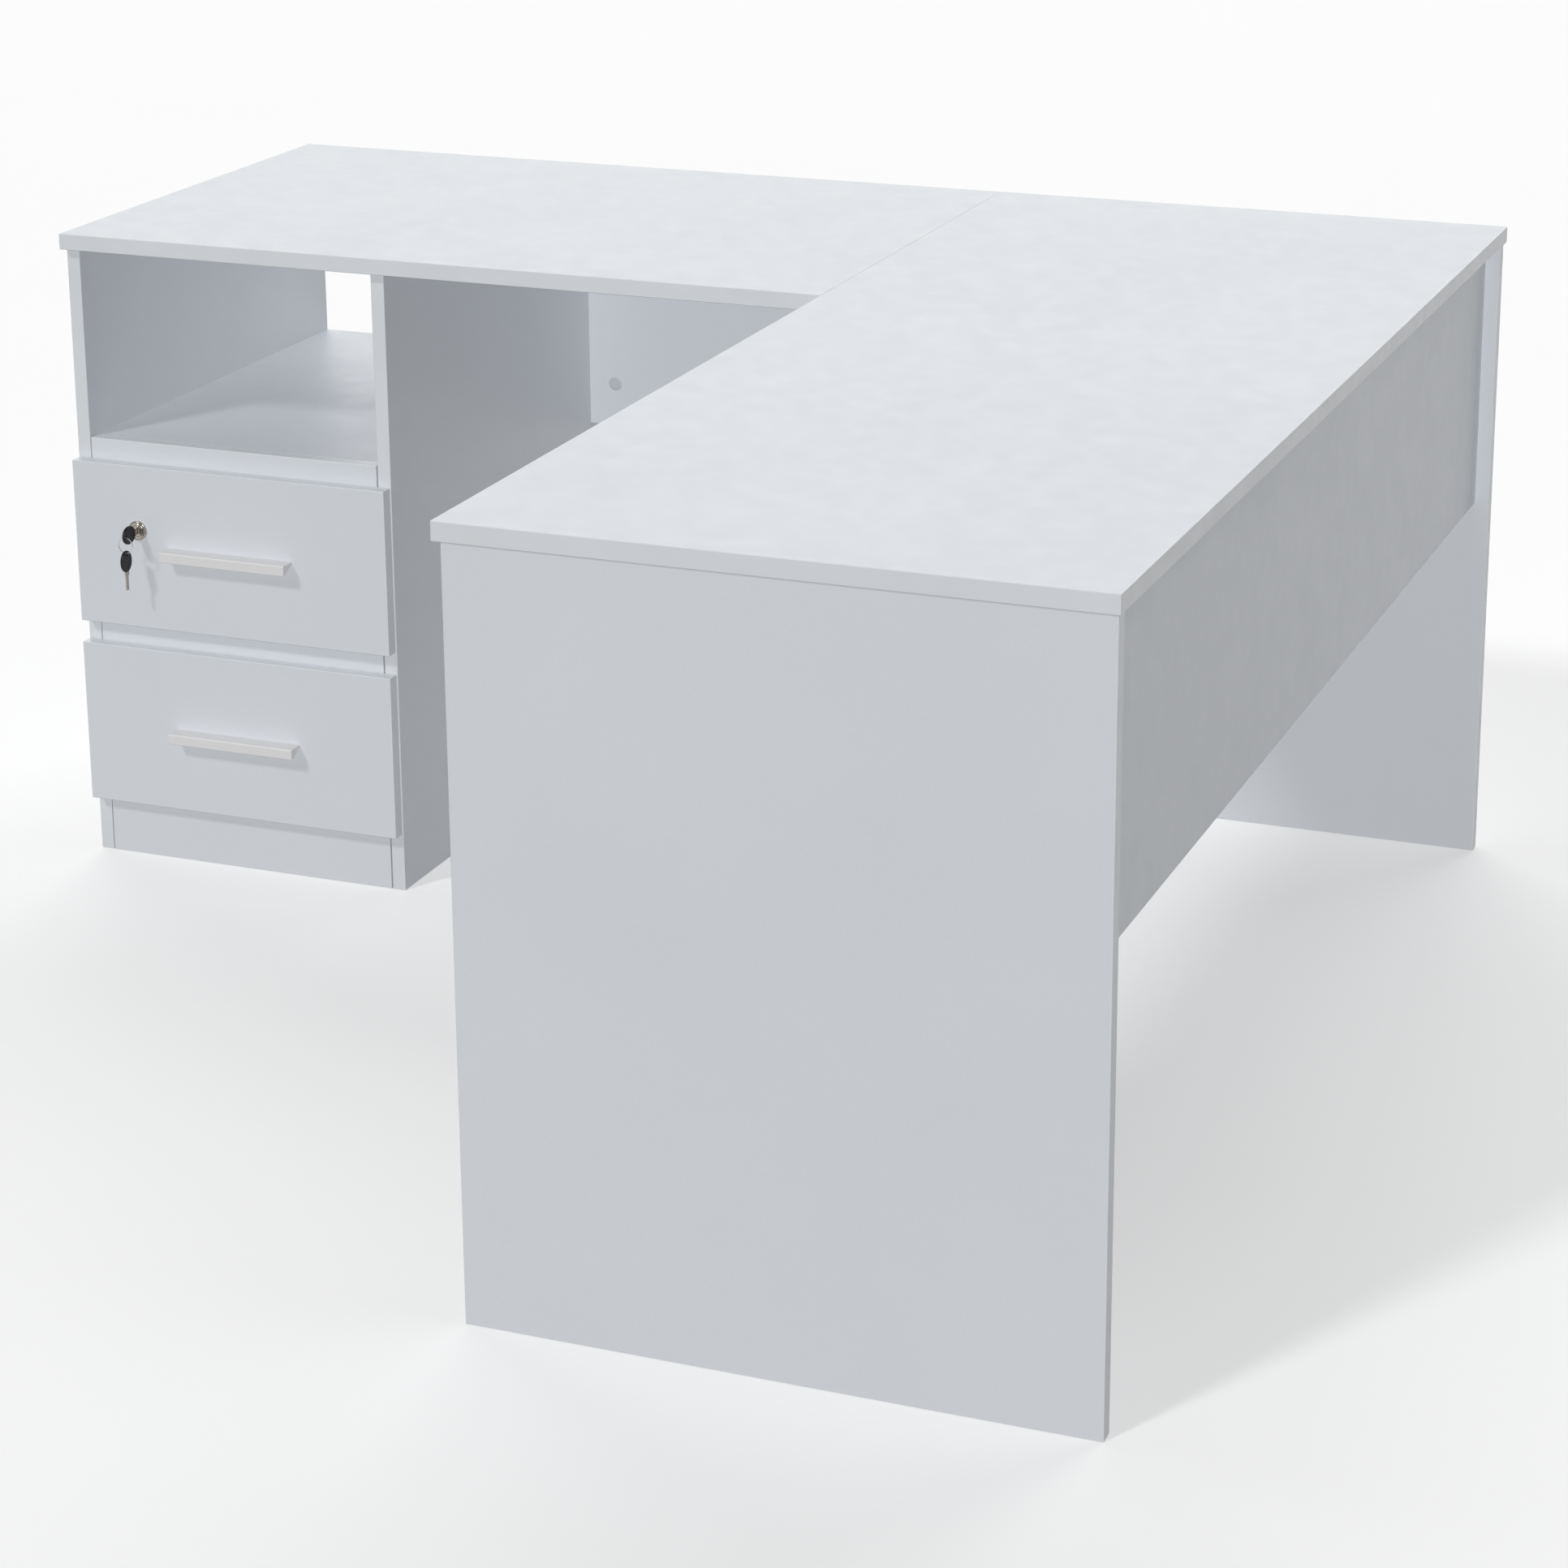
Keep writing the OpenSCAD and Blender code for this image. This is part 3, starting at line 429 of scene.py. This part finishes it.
def soften(bm, width, segments, weigh):
    """Round the edges to which weigh(edge) gives a share of the width; a new bmesh comes back."""
    layer = bm.edges.layers.float.new("bevel_weight_edge")
    for e in bm.edges:
        if len(e.link_faces) == 2 and e.is_convex and e.calc_face_angle(0.0) > math.radians(25):
            e[layer] = weigh(e)
    mesh = bpy.data.meshes.new("blank")
    bm.to_mesh(mesh)
    bm.free()
    blank = bpy.data.objects.new("blank", mesh)
    bpy.context.scene.collection.objects.link(blank)
    cutter = blank.modifiers.new("round", "BEVEL")
    cutter.limit_method = "WEIGHT"
    cutter.width = width
    cutter.segments = segments
    cutter.miter_outer = "MITER_ARC"
    bpy.context.view_layer.update()
    graph = bpy.context.evaluated_depsgraph_get()
    rounded = bmesh.new()
    rounded.from_mesh(blank.evaluated_get(graph).data)
    bpy.data.objects.remove(blank)
    bpy.data.meshes.remove(mesh)
    return rounded


def skin(bm, rings, place, loop=False):
    """Faces between a stack of rings of points; a ring of one point is a pole."""
    made = [[bm.verts.new(place @ Vector(p)) for p in ring] for ring in rings]
    pairs = list(zip(made, made[1:]))
    if loop:
        pairs.append((made[-1], made[0]))
    for a, b in pairs:
        n = max(len(a), len(b))
        for i in range(n):
            j = (i + 1) % n
            quad = [a[i % len(a)], a[j % len(a)], b[j % len(b)], b[i % len(b)]]
            corners = list(dict.fromkeys(quad))
            if len(corners) > 2:
                bm.faces.new(corners)


def lathe(bm, profile, place, steps=64, loop=False):
    """Turn (radius, height) points about the Z axis of place."""
    rings = []
    for r, z in profile:
        if r == 0.0:
            rings.append([(0.0, 0.0, z)])
        else:
            rings.append([
                (r * math.cos(math.tau * i / steps), r * math.sin(math.tau * i / steps), z)
                for i in range(steps)
            ])
    skin(bm, rings, place, loop)


def facing(point, direction, turn=0.0):
    """Placement with +Z along a direction, spun by turn about it."""
    spin = Matrix.Rotation(turn, 4, "Z")
    lean = Vector((0, 0, 1)).rotation_difference(Vector(direction)).to_matrix().to_4x4()
    return Matrix.Translation(Vector(point)) @ lean @ spin


def loose_solids(node):
    """The points of each separate solid of a CAD node."""
    bm = bmesh.new()
    bm.from_mesh(frame["nodes"][node].data)
    bmesh.ops.remove_doubles(bm, verts=bm.verts, dist=WELD)
    bm.verts.ensure_lookup_table()
    bm.verts.index_update()
    seen = set()
    solids = []
    for start in bm.verts:
        if start.index in seen:
            continue
        seen.add(start.index)
        stack = [start]
        points = []
        while stack:
            v = stack.pop()
            points.append(v.co.copy())
            for e in v.link_edges:
                w = e.other_vert(v)
                if w.index not in seen:
                    seen.add(w.index)
                    stack.append(w)
        solids.append(points)
    bm.free()
    return solids


def round_solid(points):
    """Axis line and size of a turned solid: (centre, axis index, lowest, highest)."""
    lo = [min(p[k] for p in points) for k in range(3)]
    hi = [max(p[k] for p in points) for k in range(3)]
    size = [hi[k] - lo[k] for k in range(3)]
    gaps = [abs(size[(k + 1) % 3] - size[(k + 2) % 3]) for k in range(3)]
    axis = gaps.index(min(gaps))
    centre = Vector((lo[k] + hi[k]) / 2 for k in range(3))
    return centre, axis, lo[axis], hi[axis]


# ---------------------------------------------------------------- handles

for level in ("upper", "lower"):
    node = level + "_drawer_handle"
    lo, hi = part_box(node)
    bm = cad_copy(node)

    def handle_weight(e, lo=lo, hi=hi):
        if e.calc_length() < 2.5 * MM:
            return 0.0
        mid = (e.verts[0].co + e.verts[1].co) / 2
        if mid.y > hi[Y] - 0.2 * MM:
            return 0.0
        if mid.y < lo[Y] + 0.2 * MM and mid.z > hi[Z] - 0.2 * MM:
            return 1.0
        return 0.4
    finish_piece(soften(bm, 1.7 * MM, 4, handle_weight), node + "_moulded", [node], 40.0)


# ---------------------------------------------------------------- cover caps

# (share of the radius, share of the height)
CAP_DOME = ((0.0, 1.0), (0.40, 0.985), (0.70, 0.93), (0.86, 0.80), (0.95, 0.55),
            (0.99, 0.25), (1.0, 0.0))
BOARDS = [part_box(n) for n, slot in SLOT_OF.items() if slot == "melamine_board"]


def in_board(point):
    return any(all(lo[k] < point[k] < hi[k] for k in range(3)) for lo, hi in BOARDS)


bm = bmesh.new()
for points in loose_solids("cam_cover_caps"):
    centre, axis, low, high = round_solid(points)
    out = Vector((0, 0, 0))
    out[axis] = 1.0
    below = centre.copy()
    below[axis] = low - 0.5 * MM
    if not in_board(below):
        out = -out
    cap_r = max((p - centre - (p - centre).dot(out) * out).length for p in points)
    cap_h = high - low
    foot = centre - out * cap_h / 2
    profile = [(r * cap_r, z * cap_h) for r, z in CAP_DOME] + [(0.0, 0.0)]
    lathe(bm, profile, facing(foot, out), 48)
finish_piece(bm, "cam_cover_caps_domed", ["cam_cover_caps"])


# ---------------------------------------------------------------- screws

def cross_radius(angle, arm, half):
    """Distance from the centre to the outline of a plus sign."""
    a = abs(math.cos(angle))
    b = abs(math.sin(angle))
    a, b = max(a, b), min(a, b)
    if a * half >= b * arm:
        return arm / a
    return half / b


def screw_angles(arm, half):
    inner = math.atan2(half, arm)
    quarter = (0.0, inner, math.pi / 8, math.pi / 4, 3 * math.pi / 8, math.pi / 2 - inner)
    return [q * math.pi / 2 + a for q in range(4) for a in quarter]


def add_screw(bm, place, head_r, head_h, shank_r, length):
    """Pan head screw with a cross recess: +Z out of the head, head top at 0."""
    arm, half = 0.50 * head_r, 0.13 * head_r
    angles = screw_angles(arm, half)

    def circle(r, z):
        return [(r * math.cos(a), r * math.sin(a), z) for a in angles]

    def cross(scale, z):
        return [(cross_radius(a, arm, half) * scale * math.cos(a),
                 cross_radius(a, arm, half) * scale * math.sin(a), z) for a in angles]
    depth = min(0.40 * head_r, 0.5 * length)
    rings = [[(0.0, 0.0, -1.15 * depth)], cross(0.62, -depth), cross(1.0, -0.04 * head_h)]
    rings += [circle(0.70 * head_r, -0.03 * head_h), circle(0.86 * head_r, -0.12 * head_h)]
    rings += [circle(0.96 * head_r, -0.36 * head_h), circle(head_r, -0.70 * head_h)]
    rings += [circle(head_r, -head_h), circle(shank_r, -head_h)]
    rings += [circle(shank_r, -length + shank_r), circle(0.25 * shank_r, -length), [(0.0, 0.0, -length)]]
    skin(bm, rings, place)


for node in [n for n in SLOT_OF if n.endswith("_screws")]:
    bm = bmesh.new()
    for count, points in enumerate(loose_solids(node)):
        centre, axis, low, high = round_solid(points)
        radii = {}
        for p in points:
            across = (p - centre)
            across[axis] = 0.0
            radii[round(p[axis], 5)] = max(radii.get(round(p[axis], 5), 0.0), across.length)
        levels = sorted(radii)
        head_up = radii[levels[-1]] > radii[levels[0]]
        head_r = max(radii.values())
        wide = [z for z in levels if radii[z] > 0.8 * head_r]
        head_h = max(wide) - min(wide)
        shank_r = min(radii[levels[0]], radii[levels[-1]])
        out = Vector((0, 0, 0))
        out[axis] = 1.0 if head_up else -1.0
        top = centre.copy()
        top[axis] = high if head_up else low
        add_screw(bm, facing(top, out, 2.4 * count), head_r, head_h, shank_r, high - low)
    finish_piece(bm, node + "_pan_head", [node])


# ---------------------------------------------------------------- lock

plug_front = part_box("lock_plug")[0][Y]
housing_lo, housing_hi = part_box("lock_housing")
LOCK_X = (housing_lo[X] + housing_hi[X]) / 2
LOCK_Z = (housing_lo[Z] + housing_hi[Z]) / 2
FRONT_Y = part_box("upper_drawer_front")[0][Y]
BEZEL_R = (housing_hi[X] - housing_lo[X]) / 2
BARREL_R = 9.5 * MM
BORE_R = 6.56 * MM
THREAD_PITCH = 1.0 * MM
on_front = facing((LOCK_X, FRONT_Y, LOCK_Z), (0, -1, 0))
rim = FRONT_Y - housing_lo[Y]
tail = FRONT_Y - housing_hi[Y]
# from the bore over the dished bezel and down the threaded barrel
profile = [(BORE_R, rim - 0.55 * MM), (BORE_R + 0.15 * MM, rim - 0.30 * MM)]
profile += [(BORE_R + 0.4 * MM, rim - 0.20 * MM)]
profile += [(BEZEL_R - 3.2 * MM, rim - 0.20 * MM), (BEZEL_R - 2.95 * MM, rim - 0.35 * MM)]
profile += [(BEZEL_R - 2.85 * MM, rim - 0.95 * MM), (BEZEL_R - 2.0 * MM, rim - 0.95 * MM)]
profile += [(BEZEL_R - 1.85 * MM, rim - 0.30 * MM), (BEZEL_R - 1.65 * MM, rim - 0.06 * MM)]
profile += [(BEZEL_R - 1.30 * MM, rim), (BEZEL_R - 0.75 * MM, rim - 0.08 * MM)]
profile += [(BEZEL_R - 0.30 * MM, rim - 0.35 * MM), (BEZEL_R - 0.05 * MM, rim - 0.80 * MM)]
profile += [(BEZEL_R, rim - 1.3 * MM), (BEZEL_R, 0.0), (BARREL_R, 0.0), (BARREL_R, -14.0 * MM)]
z = -14.5 * MM
while z > tail + 1.2 * MM:
    profile += [(BARREL_R - 0.3 * MM, z), (BARREL_R, z - THREAD_PITCH / 2)]
    z -= THREAD_PITCH
profile += [(BARREL_R - 0.4 * MM, tail), (BORE_R, tail)]
bm = bmesh.new()
lathe(bm, profile, on_front, 72, loop=True)
finish_piece(bm, "lock_housing_turned", ["lock_housing"], 30.0)


def plug_weight(e):
    mid = (e.verts[0].co + e.verts[1].co) / 2
    out = math.hypot(mid.x - LOCK_X, mid.z - LOCK_Z)
    return 1.0 if mid.y < plug_front + 0.1 * MM and out > 5.5 * MM else 0.0


plug = soften(cad_copy("lock_plug"), 0.45 * MM, 3, plug_weight)
finish_piece(plug, "lock_plug_rounded", ["lock_plug"], 30.0)


# ---------------------------------------------------------------- keys

HEAD_HALF_T = 1.7 * MM
HEAD_AXES = (12.5 * MM, 10.5 * MM)
HOLE_R = 2.6 * MM
HOLE_AT = 8.8 * MM
HEAD_ROUND = 1.25 * MM
HOLE_STEPS = (0.0, 0.12, 0.35, 0.75, 1.15, 1.55)
RIM_STEPS = (0.0, 0.08, 0.25, 0.55, 0.90, 1.25, 1.75, 2.25)
HEAD_DISH = 0.32 * MM
HOLE_LIP = 0.35 * MM


def head_rings(rays=72):
    """Half a key head as rings from its hole out to its rim, in its own frame, hole at -Z."""
    long_axis, short_axis = HEAD_AXES
    rings = [[] for _ in range(len(HOLE_STEPS) + len(RIM_STEPS) + 2)]
    for i in range(rays):
        a = math.tau * i / rays
        dy, dz = math.sin(a), math.cos(a)
        # where the ray from the hole's centre leaves the oval
        qa = (dz / long_axis) ** 2 + (dy / short_axis) ** 2
        qb = -2.0 * HOLE_AT * dz / long_axis ** 2
        qc = (HOLE_AT / long_axis) ** 2 - 1.0
        reach = (-qb + math.sqrt(qb * qb - 4.0 * qa * qc)) / (2.0 * qa)
        room = reach - HOLE_R
        fit = min(1.0, room / ((HOLE_STEPS[-1] + RIM_STEPS[-1] + 0.3) * MM))
        stops = [HOLE_R + s * fit * MM for s in HOLE_STEPS]
        last, first = stops[-1], reach - RIM_STEPS[-1] * fit * MM
        stops += [last + (first - last) / 3, last + (first - last) * 2 / 3]
        stops += [reach - s * fit * MM for s in reversed(RIM_STEPS)]
        for ring, r in zip(rings, stops):
            from_rim, from_hole = reach - r, r - HOLE_R
            edge = min(from_rim, HEAD_ROUND)
            arc = max(0.0, HEAD_ROUND ** 2 - (HEAD_ROUND - edge) ** 2)
            t = HEAD_HALF_T - HEAD_ROUND + math.sqrt(arc)
            lip = min(from_hole, HOLE_LIP)
            t -= HOLE_LIP - math.sqrt(max(0.0, HOLE_LIP ** 2 - (HOLE_LIP - lip) ** 2))
            dish = min(from_rim - 1.5 * MM, from_hole - 1.0 * MM) / (0.6 * MM)
            dish = max(0.0, min(1.0, dish))
            t -= HEAD_DISH * dish * dish * (3 - 2 * dish)
            ring.append((t, r * dy, r * dz - HOLE_AT))
    return rings


def add_head(bm, place):
    rings = head_rings()
    other = [[(-x, y, z) for x, y, z in ring] for ring in reversed(rings)]
    skin(bm, rings + other, place, loop=True)


head_lo, head_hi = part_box("key_head")
spare_lo, spare_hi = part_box("spare_key_head")
key_place = Matrix.Translation([(head_lo[k] + head_hi[k]) / 2 for k in range(3)])
key_place = key_place @ Matrix.Rotation(math.radians(-90), 4, "X")
spare_place = Matrix.Translation([(spare_lo[k] + spare_hi[k]) / 2 for k in range(3)])
spare_place = spare_place @ Matrix.Rotation(math.radians(180), 4, "X")
for node, place in (("key_head", key_place), ("spare_key_head", spare_place)):
    bm = bmesh.new()
    add_head(bm, place)
    finish_piece(bm, node + "_moulded", [node], 50.0)


def blade_weight(e):
    return 1.0 if e.calc_length() > 1.0 * MM else 0.0


for node in ("key_blade", "spare_key_blade"):
    blade = soften(cad_copy(node), 0.18 * MM, 2, blade_weight)
    finish_piece(blade, node + "_milled", [node], 30.0)


# ---------------------------------------------------------------- split ring

ring_lo, ring_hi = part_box("key_ring")
ring_mid = Vector((ring_lo[k] + ring_hi[k]) / 2 for k in range(3))
WIRE_R = (ring_hi[Y] - ring_lo[Y]) / 2
RING_R = (ring_hi[X] - ring_lo[X]) / 2 - WIRE_R
TURNS = 2.0 * 0.985
WIRE_STATIONS = 180
WIRE_SIDES = 10
WIRE_START = math.radians(100)
STEP_AT = math.radians(260)
STEP_SPAN = math.radians(30)


def split_ring():
    """Two touching turns of flattened wire that change sides once."""
    rings = []
    half_w, half_t = WIRE_R * 0.47, WIRE_R * 0.95
    for i in range(WIRE_STATIONS + 1):
        a = WIRE_START + TURNS * math.tau * i / WIRE_STATIONS
        turned = (a - WIRE_START - STEP_AT) / STEP_SPAN
        s = max(0.0, min(1.0, turned))
        side = (2.0 * (3 * s * s - 2 * s ** 3) - 1.0) * WIRE_R * 0.5
        ring = []
        for j in range(WIRE_SIDES):
            b = math.tau * j / WIRE_SIDES
            cb, sb = math.cos(b), math.sin(b)
            across = math.copysign(abs(cb) ** 0.6, cb) * half_t
            along = math.copysign(abs(sb) ** 0.6, sb) * half_w
            r = RING_R + across
            ring.append((r * math.cos(a), side + along, r * math.sin(a)))
        rings.append(ring)
    ends = []
    for ring in (rings[0], rings[-1]):
        mid = [sum(p[k] for p in ring) / len(ring) for k in range(3)]
        ends.append([tuple(mid)])
    return [ends[0]] + rings + [ends[1]]


bm = bmesh.new()
skin(bm, split_ring(), Matrix.Translation(ring_mid))
finish_piece(bm, "key_ring_split", ["key_ring"], 40.0)


# ---------------------------------------------------------------- camera and light

CAM_POS = Vector((1.580, -3.527, 1.628))
CAM_AZ = math.radians(21.44)
CAM_PITCH = math.radians(16.41)
CAM_ROLL = math.radians(-0.33)
IMAGE = 1932.0
FOCAL_PX = 4775.0
CENTRE_PX = (983.0, 676.0)
SENSOR = 36.0

cam_data = bpy.data.cameras.new("camera")
cam = bpy.data.objects.new("camera", cam_data)
bpy.context.scene.collection.objects.link(cam)
run = math.cos(CAM_PITCH)
forward = Vector((-math.sin(CAM_AZ) * run, math.cos(CAM_AZ) * run, -math.sin(CAM_PITCH)))
level_right = forward.cross(Vector((0, 0, 1))).normalized()
level_up = level_right.cross(forward)
right_dir = (level_right * math.cos(CAM_ROLL) + level_up * math.sin(CAM_ROLL)).normalized()
up_dir = right_dir.cross(forward)
turn = Matrix((right_dir, up_dir, -forward)).transposed().to_4x4()
cam.matrix_world = Matrix.Translation(CAM_POS) @ turn
cam_data.sensor_width = SENSOR
cam_data.lens = FOCAL_PX / IMAGE * SENSOR
cam_data.shift_x = (IMAGE / 2 - CENTRE_PX[0]) / IMAGE
cam_data.shift_y = (CENTRE_PX[1] - IMAGE / 2) / IMAGE
cam_data.clip_end = 200.0
bpy.context.scene.camera = cam

FLOOR_HALF = 30.0
FLOOR_Z = -0.5 * MM
AMBIENT = 0.15
BACKDROP = (0.93, 0.93, 0.93, 1.0)
bm = bmesh.new()
bmesh.ops.create_grid(bm, x_segments=8, y_segments=8, size=FLOOR_HALF)
floor_mesh = bpy.data.meshes.new("floor")
bm.to_mesh(floor_mesh)
bm.free()
floor = bpy.data.objects.new("floor", floor_mesh)
floor.location.z = FLOOR_Z
bpy.context.scene.collection.objects.link(floor)
floor_mesh.materials.append(floor_material("pale_floor", (0.80, 0.80, 0.80)))
floor.visible_diffuse = False

# a dim white room, seen by the camera as a pale backdrop
world = bpy.data.worlds.new("studio")
world.use_nodes = True
sky = world.node_tree
ambient = sky.nodes["Background"]
ambient.inputs["Color"].default_value = (1.0, 1.0, 1.0, 1.0)
ambient.inputs["Strength"].default_value = AMBIENT
backdrop = sky.nodes.new("ShaderNodeBackground")
backdrop.inputs["Color"].default_value = BACKDROP
backdrop.inputs["Strength"].default_value = 1.0
seen = sky.nodes.new("ShaderNodeLightPath")
choose = sky.nodes.new("ShaderNodeMixShader")
sky.links.new(seen.outputs["Is Camera Ray"], choose.inputs["Fac"])
sky.links.new(ambient.outputs["Background"], choose.inputs[1])
sky.links.new(backdrop.outputs["Background"], choose.inputs[2])
sky.links.new(choose.outputs["Shader"], sky.nodes["World Output"].inputs["Surface"])
bpy.context.scene.world = world


def add_sun(name, direction, strength, angle, shadow=True):
    """A soft studio light from far away; the fill casts no shadow, so recesses stay open."""
    data = bpy.data.lights.new(name, "SUN")
    data.energy = strength
    data.angle = math.radians(angle)
    data.use_shadow = shadow
    light = bpy.data.objects.new(name, data)
    light.rotation_euler = Vector(direction).to_track_quat("-Z", "Y").to_euler()
    bpy.context.scene.collection.objects.link(light)


add_sun("key", (0.5, 1.0, -1.0), 0.85, 7.0)
add_sun("back", (0.2, -1.0, -0.4), 2.65, 90.0)
add_sun("fill", (-0.82, 1.88, -1.03), 2.30, 1.0, shadow=False)

bpy.context.scene.view_settings.view_transform = "Standard"
